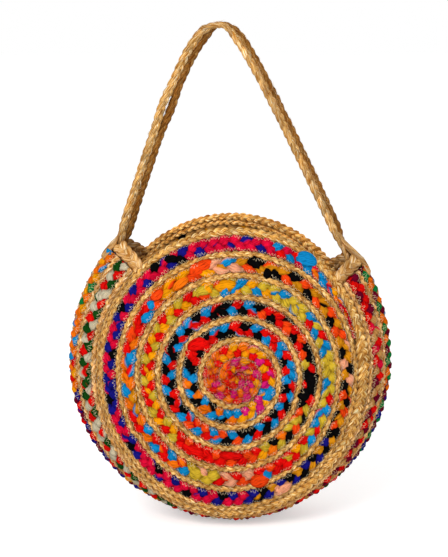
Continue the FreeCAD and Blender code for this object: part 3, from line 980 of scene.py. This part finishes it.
# %% Braids over the ends of the gusset
strap_braid_width = 0.012
strap_thickness = 0.008
strap_width = 2 * strap_braid_width + braid_gap
strap_reach = math.hypot(strap_width, strap_thickness) / 2
end_overlap = 0.003
end_first = panel_radius - end_overlap
end_last = skin_half - strap_reach - braid_gap
short_steps = 12
end_plait = {**jute_plait, "half_band": end_braid_width / 2, "period": 0.034, "half_width": 0.0056,
             "half_thick": 0.0026, "around": 12, "along": 10}


def short_band(length, half):
    """A short, straight band."""
    places = np.linspace(0, length, short_steps)
    return {"length": places, "inner": np.full(short_steps, -half), "outer": np.full(short_steps, half),
            "station": places}


def end_braid(hand, facing, side, seed):
    """A short jute braid across the ends of the rows, from one panel's rim to the strap."""
    half = end_plait["half_band"]
    rise = lip_angles[facing] - half / lip_radii[facing]
    angle = rise if facing > 0 else math.pi - rise
    band = short_band(end_last - end_first, half)
    phase = even_phase(band, end_plait["period"])

    def place(along, across, height):
        distance = end_first + along
        if side == "back":
            distance = 2 * skin_half - distance
        return on_skin(angle + across * half / lip_radii[facing] * facing, distance, height)

    node = "gusset_end_braid_%s_%s" % (hand, side)
    piece = lay_braid(node + "_plait", band, 0, end_last - end_first, end_plait, phase,
                      jute_look(band, phase, seed), place, jute_fibre)
    on_body(piece, "bag", slot_of_node[node], node)
    return piece


for hand, facing, first_seed in (("left", -1, 61), ("right", 1, 63)):
    for seed, side in enumerate(("front", "back"), first_seed):
        tell_faces(end_braid(hand, facing, side, seed))

# %% [markdown]
# ## The strap
# Two jute braids run side by side from inside one end of the gusset, over a tall arch, into the other. They
# lie flat at the peak and turn edge-on along the arms, and on the left arm a stretch of their seam is open.
# The same strap crosses the line that the bag swings about; it is made as one piece and left where it lies.

# %% The strap's middle line
strap_peak_offset = -0.012
strap_insets = {-1: 0.007, 1: 0.025}
strap_pivot_height = lip_radii[-1] * math.sin(lip_angles[-1]) + strap_reach + 2 * braid_gap
strap_rise = 0.260
strap_round_shares = {-1: 0.56, 1: 0.19}
strap_twists = {-1: math.radians(42.0), 1: math.radians(-30.0)}
strap_slit_width, strap_slit_length, strap_slit_place = 0.006, 0.075, 0.150
anchor_length = 0.038
anchor_clearance = 0.002
chord_sag = lip_radii[-1] * (1 - math.cos(math.pi / turn_stations))
anchor_inset = rag_thickness / 2 + anchor_clearance + braid_gap + strap_thickness / 2 + chord_sag
anchor_steps, arch_steps = 20, 400
strap_step = 0.001
strap_smoothing_passes = 60


def strap_side(facing):
    """The span of one side of the arch and the roundness of its peak."""
    lip_reach = lip_radii[facing] * math.cos(lip_angles[facing])
    span = lip_reach - strap_insets[facing] - facing * strap_peak_offset
    return span, span * strap_round_shares[facing]


def strap_arm(facing):
    """Points x, z of one arm, from the tucked end up to the peak, measured from the bag's middle."""
    span, rounding = strap_side(facing)
    tucked = np.linspace(anchor_length, 0, anchor_steps)
    angles = row_ends[facing] - (tucked + strap_thickness / 2) / lip_radii[facing]
    sides = angles if facing > 0 else math.pi - angles
    beside = np.full(anchor_steps, skin_half - strap_width / 2)
    skin = on_skin(sides, beside, np.zeros(anchor_steps)) - bag_middle
    anchor = skin[:, [0, 2]] - anchor_inset * np.stack([facing * np.cos(angles), np.sin(angles)], axis=-1)
    offsets = np.linspace(span, 0, arch_steps)
    fall = (np.hypot(offsets, rounding) - rounding) / (math.hypot(span, rounding) - rounding)
    heights = strap_pivot_height + strap_rise * (1 - fall)
    arch = np.stack([strap_peak_offset + facing * offsets, heights], axis=-1)
    return np.concatenate([anchor, arch])


def even_line(points, step):
    """The points of a line at even steps along it."""
    length = run_lengths(points)
    even = np.linspace(0, length[-1], int(length[-1] / step) + 1)
    return np.stack([np.interp(even, length, points[:, axis]) for axis in range(2)], axis=-1)


strap_line = even_line(np.concatenate([strap_arm(-1), strap_arm(1)[::-1][1:]]), strap_step)
for smoothing_pass in range(strap_smoothing_passes):
    strap_line[1:-1] = (strap_line[:-2] + 2 * strap_line[1:-1] + strap_line[2:]) / 4
strap_line = even_line(strap_line, strap_step)
strap_places = run_lengths(strap_line)
print("strap length with its sewn ends %.3f m" % strap_places[-1])


# %% How the strap lies along that line
strap_along = np.gradient(strap_line, axis=0)
strap_along /= np.linalg.norm(strap_along, axis=1)[:, None]
strap_above = strap_line[:, 1] > strap_pivot_height
strap_bottom = strap_places[strap_above][0]
strap_top = strap_places[strap_above][-1]
above_pivot = np.minimum(strap_places - strap_bottom, strap_top - strap_places)
from_peak = strap_line[:, 0] - strap_peak_offset
strap_turn = np.where(from_peak > 0, strap_twists[1], strap_twists[-1])
strap_turn *= smooth(1 + above_pivot / anchor_length) * smooth(np.abs(from_peak) / strap_width)
slit_middle = strap_bottom + strap_reach + braid_gap + strap_slit_place
strap_open = smooth(1 - np.abs(strap_places - slit_middle) / (strap_slit_length / 2))
zeros = np.zeros(len(strap_places))
strap_down = np.stack([strap_along[:, 1], zeros, -strap_along[:, 0]], axis=-1)
strap_across = np.stack([zeros, np.cos(strap_turn), zeros], axis=-1)
strap_across += strap_down * np.sin(strap_turn)[:, None]
strap_forward = np.stack([strap_along[:, 0], zeros, strap_along[:, 1]], axis=-1)
strap_out = np.cross(strap_forward, strap_across)
strap_points = np.stack([strap_line[:, 0], zeros, strap_line[:, 1]], axis=-1) + bag_middle
strap_apart = (strap_braid_width + braid_gap + strap_open * strap_slit_width) / 2
print("strap above the hinge %.3f m" % (strap_top - strap_bottom))


def along_strap(values, along):
    """Values of the strap's line at places along it."""
    return np.stack([np.interp(along, strap_places, values[:, axis]) for axis in range(3)], axis=-1)


def strap_place(along, aside, height):
    """Points beside the strap's middle line: aside towards the back, height outward."""
    return (along_strap(strap_points, along) + along_strap(strap_across, along) * aside[:, None]
            + along_strap(strap_out, along) * height[:, None])


# %% The strap's two braids
strap_plait = {**jute_plait, "half_band": strap_braid_width / 2, "period": 0.034, "half_width": 0.0041,
               "half_thick": 0.0031, "lift": 0.0008, "sway": 0.48, "swell": 0.02, "fold": 0.04,
               "shade": (0.78, 0.70, 0.60), "around": 12, "along": 14}
strap_half = np.full(len(strap_places), strap_braid_width / 2)
strap_band = {"length": strap_places, "inner": -strap_half, "outer": strap_half, "station": strap_places}
strap_phase = even_phase(strap_band, strap_plait["period"])
front_strap_pale = (1.03, 1.06, 1.04)
# The back braid of the strap is painted darker as painted shade: it stands in the shadow of the front braid.
back_strap_painted_shade = (0.45, 0.33, 0.17)


def strap_braid(name, side, seed, tint_and_painted_light):
    """One braid of the strap, in front of the middle line or behind it."""

    def place(along, across, height):
        apart = np.interp(along, strap_places, strap_apart)
        return strap_place(along, side * apart + across * strap_braid_width / 2, height)

    return lay_braid(name, strap_band, 0, strap_places[-1], strap_plait, strap_phase,
                     jute_look(strap_band, strap_phase, seed, tint_and_painted_light), place, jute_fibre)


def bend_at_hinge(piece):
    """A jute piece with its place baked into its points, and its faces printed."""
    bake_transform(piece)
    tell_faces(piece)


strap = join_pieces([strap_braid("strap_plaits", -1, 71, front_strap_pale),
                     strap_braid("strap_second", 1, 72, back_strap_painted_shade)])
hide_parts("strap_braid_front", "strap_braid_back", "strap_anchor_left", "strap_anchor_right")
bend_at_hinge(strap)

# %% Frayed ends of the strap on the gusset
tuft_spread = 0.004
tuft_below, tuft_above = 0.013, 0.012
tuft_rise, tuft_sunk = 0.0038, 0.0012
tuft_taper_share = 0.6
tuft_taper_before, tuft_taper_run = 0.006, 0.018
tuft_climb_before, tuft_climb_run = 0.018, 0.024
right_foot_below = 0.025
tuft_half = strap_reach + tuft_spread
tuft_lip = tuft_below + end_braid_width + 2 * braid_gap
tuft_length = tuft_lip + tuft_above
tuft_plait = {**jute_plait, "half_band": tuft_half, "period": 0.060, "half_width": 0.0066,
              "half_thick": 0.0020, "lift": 0.0008, "around": 12, "along": 12}


def strap_tuft(hand, facing, seed):
    """Loose jute that spreads from the strap's foot over the ends of the middle rows."""
    first = row_ends[facing] - tuft_below / lip_radii[facing]
    band = short_band(tuft_length, tuft_half)
    phase = even_phase(band, tuft_plait["period"])

    def place(along, across, height):
        rise = first + along / lip_radii[facing]
        angle = rise if facing > 0 else math.pi - rise
        low = on_skin(angle, skin_half + across * tuft_half, height + tuft_rise)
        beyond = along - tuft_lip
        foot = strap_bottom + beyond if facing < 0 else strap_top + right_foot_below - beyond
        narrow = 1 - tuft_taper_share * smooth((beyond + tuft_taper_before) / tuft_taper_run)
        above = height * narrow + strap_thickness / 2 - tuft_sunk
        high = strap_place(foot, across * narrow * tuft_half, above)
        climbed = smooth((beyond + tuft_climb_before) / tuft_climb_run)[:, None]
        return low * (1 - climbed) + high * climbed

    return lay_braid("%s_strap_tuft" % hand, band, 0, tuft_length, tuft_plait, phase,
                     jute_look(band, phase, seed), place, jute_fibre)


bend_at_hinge(strap_tuft("left", -1, 75))
bend_at_hinge(strap_tuft("right", 1, 76))

# %% [markdown]
# ## The sewing thread
# Every seam between two rows is sewn with a zigzag of cream thread. Each stitch dips into the braid on one
# side, crosses the groove and dips into the braid on the other. To lie on the braids and not inside them, a
# stitch has to know how high they stand, so a ray is cast down on them at every point of the zigzag. The
# thread itself is one long strip of a grid, rolled into a thin tube around that line. Under the thread the
# braids' edges press together, and no light comes through. A flat cord inside each seam stands for that; its
# dark tone is painted shade, the shade in the groove.

# %% How high the braids stand
thread_half = 0.00018
thread_sunk = 0.0004
stitch_length = 0.0042
onto_cloth = (-0.0010, 0.0046)
onto_jute = (-0.0022, 0.0022)
leg_points = 4
cast_height = 0.014
cast_reach = 1.3 * cast_height
thread_sides, thread_map_share = 4, 6
stitch_uneven_share = 0.2
stitch_reach_shares = (0.4, 1.15)


def tree_of(pieces):
    """A search tree of all the faces of some pieces."""
    points = []
    faces = []
    for piece in pieces:
        first = len(points)
        points.extend(vertex_places(piece).tolist())
        faces.extend([[first + corner for corner in face.vertices] for face in piece.data.polygons])
    return BVHTree.FromPolygons(points, faces)


def heights_on(tree, place, along, aside, side):
    """How far above the seam's own level the braids stand, on its outer or its inner side."""
    level = np.zeros(len(along))
    outside = place(along, aside, level + side * cast_height)
    inside = place(along, aside, level)
    heights = np.zeros(len(along))
    for number, (start, end) in enumerate(zip(outside, inside)):
        found = tree.ray_cast(Vector(start), Vector(end - start), cast_reach)
        if found[0] is not None:
            heights[number] = cast_height - found[3]
    return heights


# %% A zigzag along a seam
def zigzag(length, span, seed):
    """Along and aside of the points of a zigzag, a little uneven as sewn by hand."""
    legs = int(length / stitch_length * 2)
    dice = np.random.default_rng(seed)
    tips = np.arange(legs + 1)
    uneven = dice.uniform(-stitch_uneven_share, stitch_uneven_share, legs + 1)
    tips_along = (tips + uneven) / legs * length
    tips_aside = np.where(tips % 2, span[1], span[0]) * dice.uniform(*stitch_reach_shares, legs + 1)
    steps = np.arange(legs * leg_points + 1) / leg_points
    return np.interp(steps, tips, tips_along), np.interp(steps, tips, tips_aside)


def sew(name, tree, place, length, seed, span, side=1, finish=cream_thread):
    """One thread along a seam: place turns along, aside and height into points."""
    along, aside = zigzag(length, span, seed)
    heights = heights_on(tree, place, along, aside, side)
    step = np.arange(len(along)) % leg_points
    bridge = np.roll(heights, 1) / 2 + np.roll(heights, -1) / 2 - thread_half
    heights = np.where(step == leg_points // 2, np.maximum(heights, bridge), heights)
    heights += np.where(step == 0, -thread_sunk, thread_half * 0.7)
    points = place(along, aside, side * heights)
    out = place(along, aside, side * (heights + cast_height)) - points
    return thread_tube(name, points, out, finish, (thread_half, thread_half), 1.0)


def thread_tube(name, points, out, finish, halves, tone):
    """A thin tube through points: a grid strip rolled around them, with its half width and half height."""
    thread = flat_grid(name, len(points) - 1, thread_sides)
    share, strand, around = read_flat(thread, 1)
    number = np.rint(share * (len(points) - 1)).astype(int)
    forward = np.gradient(points, axis=0)
    aside = np.cross(forward, out)
    aside /= np.linalg.norm(aside, axis=1)[:, None]
    upward = np.cross(aside, forward)
    upward /= np.linalg.norm(upward, axis=1)[:, None]
    ring = 2 * math.pi * around
    around_thread = halves[0] * np.cos(ring)[:, None] * aside[number]
    around_thread += halves[1] * np.sin(ring)[:, None] * upward[number]
    rolled = points[number] + around_thread
    dress_strands(thread, rolled, run_lengths(points)[number], around * thread_map_share * halves[0],
                  np.full((len(rolled), 3), tone))
    close_strands(thread, finish)
    return thread


# %% Seams of the panels
def seam_line(angles, distances):
    """A seam: its angles and distances against its own length."""
    points = on_skin(angles, distances, np.zeros(len(angles)))
    return {"length": run_lengths(points), "angle": angles, "distance": distances}


def seam_place(seam, turned=False):
    """What turns along, aside and height into points on a seam."""

    def place(along, aside, height):
        angle = np.interp(along, seam["length"], seam["angle"])
        distance = np.interp(along, seam["length"], seam["distance"])
        return on_skin(angle, distance + aside, height, turned)

    return place


def coil_seam(edges, first, last):
    """The seam along the outer edge of a coil between two stations."""
    span = slice(int(first * fine), int(last * fine) + 1)
    return seam_line(coil_angles[span], edges[span, 1] + braid_gap / 2)


panel_seams = [coil_seam(rag_edges, rag_start, jute_start), coil_seam(rag_edges, jute_start, rag_end),
               coil_seam(jute_edges, jute_start, rag_end - turn_stations),
               coil_seam(jute_edges, rag_end - turn_stations, jute_end - turn_stations)]
cloth_inward = tuple(-reach for reach in onto_cloth)
seam_spans = [onto_jute, cloth_inward, onto_cloth, onto_jute]
seam_finishes = [cream_thread, cream_thread, cream_thread, jute_fibre]
cord_halves = (0.0024, 0.0007)
cord_painted_shade = 0.30
cord_step = 0.004


def seam_cord(name, place, length):
    """A flat cord inside a seam, where the edges of two braids press together; its dark tone is painted shade
    in the groove.
    """
    along = np.linspace(0, length, int(length / cord_step) + 1)
    level = np.zeros(len(along))
    points = place(along, level, level)
    out = place(along, level, level + cast_height) - points
    return thread_tube(name, points, out, jute_fibre, cord_halves, cord_painted_shade)


def sew_seams(name, tree, seams, spans, finishes, seed, turned=False):
    """The thread of some seams as one piece, and their cords as another."""
    threads = []
    for number, (seam, span, finish) in enumerate(zip(seams, spans, finishes)):
        threads.append(sew(name + "_thread", tree, seam_place(seam, turned), seam["length"][-1],
                           seed + number, span, finish=finish))
    cords = [seam_cord(name + "_cord", seam_place(seam, turned), seam["length"][-1]) for seam in seams]
    for piece in (join_pieces(threads), join_pieces(cords)):
        on_body(piece, "bag", "jute")
        tell_faces(piece)


for side, turned, seed in (("front", False, 80), ("back", True, 90)):
    sew_seams(side + "_panel", tree_of(panel_pieces[side]), panel_seams, seam_spans, seam_finishes, seed,
              turned)

# %% Seams of the gusset
def gusset_line(distance):
    """A line along the gusset at one distance from the front panel's middle."""
    return seam_line(gusset_angles, np.full(len(gusset_angles), distance))


gusset_tree = tree_of(gusset_pieces + panel_pieces["front"][-1:] + panel_pieces["back"][-1:])
inner_seams = len(gusset_seams) - 2
row_spans = [onto_cloth if number % 2 else cloth_inward for number in range(1, inner_seams + 1)]
sew_seams("gusset", gusset_tree, [gusset_line(distance) for distance in gusset_seams],
          [onto_jute, *row_spans, onto_jute], [jute_fibre] + [cream_thread] * inner_seams + [jute_fibre], 100)

# %% The seam of the strap
strap_tree = tree_of([strap])
seam_overrun = 0.004
seam_first, seam_last = strap_bottom - seam_overrun, strap_top + seam_overrun
slit_first = slit_middle - strap_slit_length / 2
slit_last = slit_middle + strap_slit_length / 2


def strap_from(first):
    """What turns along, aside and height into points, counted from a place on the strap."""
    return lambda along, *rest: strap_place(along + first, *rest)


threads = []
for number, (first, last) in enumerate(((seam_first, slit_first), (slit_last, seam_last))):
    for side in (1, -1):
        threads.append(sew("strap_thread", strap_tree, strap_from(first), last - first,
                           120 + 2 * number + side, onto_jute, side, jute_fibre))
bend_at_hinge(join_pieces(threads))

# %% [markdown]
# ## Loose fibres
# Jute sheds: fine pale hairs stand off every braid of it. A hair is a short strip of a grid, repeated by an
# Array and rolled into a thin tube with three sides. Each starts at a place picked by seeded dice on a jute
# braid, lies along it for most of its way and lifts off at its end. The middle of each panel is worn to a
# coloured fluff, which is made of the same hairs in the colours of its strips.

# %% One piece of hairs
hair_half = 0.00009
hair_steps, hair_sides = 4, 3
hair_start_shares = (0.02, 0.98)
hair_reaches = (0.005, 0.013)
hair_swing = 0.0035
hair_lifts = (0.0004, 0.0026)
hair_sunk_share = 0.15
hair_lean = np.array([0.3, 0.2, 0.5]) * 0.003
hair_tones = (1.0, 1.35)
hair_map_step = 0.013


def grow_hairs(name, tree, place, length, half_band, count, seed, strips=None):
    """A piece with many hairs on one band: place turns along, aside and height into points."""
    hairs = flat_grid(name, hair_steps, hair_sides)
    repeat_strip(hairs, count, (0, 2, 0), False)
    share, number, around = read_flat(hairs, 1)
    dice = np.random.default_rng(seed)
    start = dice.uniform(*hair_start_shares, count) * length
    aside = dice.uniform(-1, 1, count) * half_band
    reach = dice.uniform(*hair_reaches, count) * np.where(dice.random(count) < 0.5, 1, -1)
    swing = dice.uniform(-hair_swing, hair_swing, count)
    lift = dice.uniform(*hair_lifts, count)
    steps = np.arange(hair_steps + 1) / hair_steps
    along = np.clip(start[:, None] + reach[:, None] * steps, 0, length)
    across = aside[:, None] + swing[:, None] * steps ** 2
    heights = heights_on(tree, place, along.ravel(), across.ravel(), 1).reshape(along.shape)
    height = heights + hair_half + lift[:, None] * (steps ** 2 - hair_sunk_share * (steps == 0))
    line = place(along.ravel(), across.ravel(), height.ravel()).reshape(count, -1, 3)
    forward = np.gradient(line, axis=1)
    sideways = np.cross(forward, forward[:, ::-1] + hair_lean)
    sideways /= np.linalg.norm(sideways, axis=-1)[..., None]
    upward = np.cross(sideways, forward)
    upward /= np.linalg.norm(upward, axis=-1)[..., None]
    step = np.rint(share * hair_steps).astype(int)
    ring = 2 * math.pi * around[:, None]
    around_hair = np.cos(ring) * sideways[number, step] + np.sin(ring) * upward[number, step]
    rolled = line[number, step] + hair_half * around_hair
    colours = dice.uniform(*hair_tones, count)[:, None] * np.ones(3)
    if strips:
        colours = np.array([strips_by_name[name] for name in strips])[dice.integers(0, len(strips), count)]
    dress_strands(hairs, rolled, along[number, step] + number * hair_map_step, around * hair_half,
                  colours[number])
    close_strands(hairs, rag_cloth if strips else jute_fibre)
    return hairs


# %% Hairs and fluff on every band
jute_hair_half = jute_width * 0.6
jute_middle = seam_line(jute_band["angle"], (jute_band["inner"] + jute_band["outer"]) / 2)
fluff_middle = seam_line(rag_band["angle"], (rag_band["inner"] + rag_band["outer"]) / 2)
fluff_last_station = 54
fluff_end = float(np.interp(fluff_last_station, rag_band["station"], fluff_middle["length"]))
fluff_count, gusset_hair_count, strap_hair_count = 900, 260, 900
fluff_strips = ["pink", "red", "orange", "amber", "cream", "red"]
for side, turned, seed, count in (("front", False, 140, 1500), ("back", True, 141, 700)):
    hairs = grow_hairs(side + "_panel_hairs", tree_of(panel_pieces[side][-1:]),
                       seam_place(jute_middle, turned), jute_middle["length"][-1], jute_hair_half, count,
                       seed)
    on_body(hairs, "bag", "jute")
    tell_faces(hairs)
    fluff = grow_hairs(side + "_centre_fluff", tree_of(panel_pieces[side][:1]),
                       seam_place(fluff_middle, turned), fluff_end, rag_width / 2, fluff_count, seed + 5,
                       fluff_strips)
    on_body(fluff, "bag", slot_of_node[side + "_rag_centre"])
    tell_faces(fluff)
row_hairs = []
for number in range(0, len(gusset_rows), 2):
    row_middle = gusset_line((gusset_seams[number] + gusset_seams[number + 1]) / 2)
    row_hairs.append(grow_hairs("gusset_%s_hairs" % gusset_rows[number], tree_of([gusset_pieces[number]]),
                                seam_place(row_middle), row_middle["length"][-1], jute_hair_half,
                                gusset_hair_count, 150 + number))
gusset_hairs = join_pieces(row_hairs)
on_body(gusset_hairs, "bag", "jute")
tell_faces(gusset_hairs)
bend_at_hinge(grow_hairs("strap_hairs", strap_tree, strap_from(seam_first), seam_last - seam_first,
                         strap_width / 2, strap_hair_count, 160))
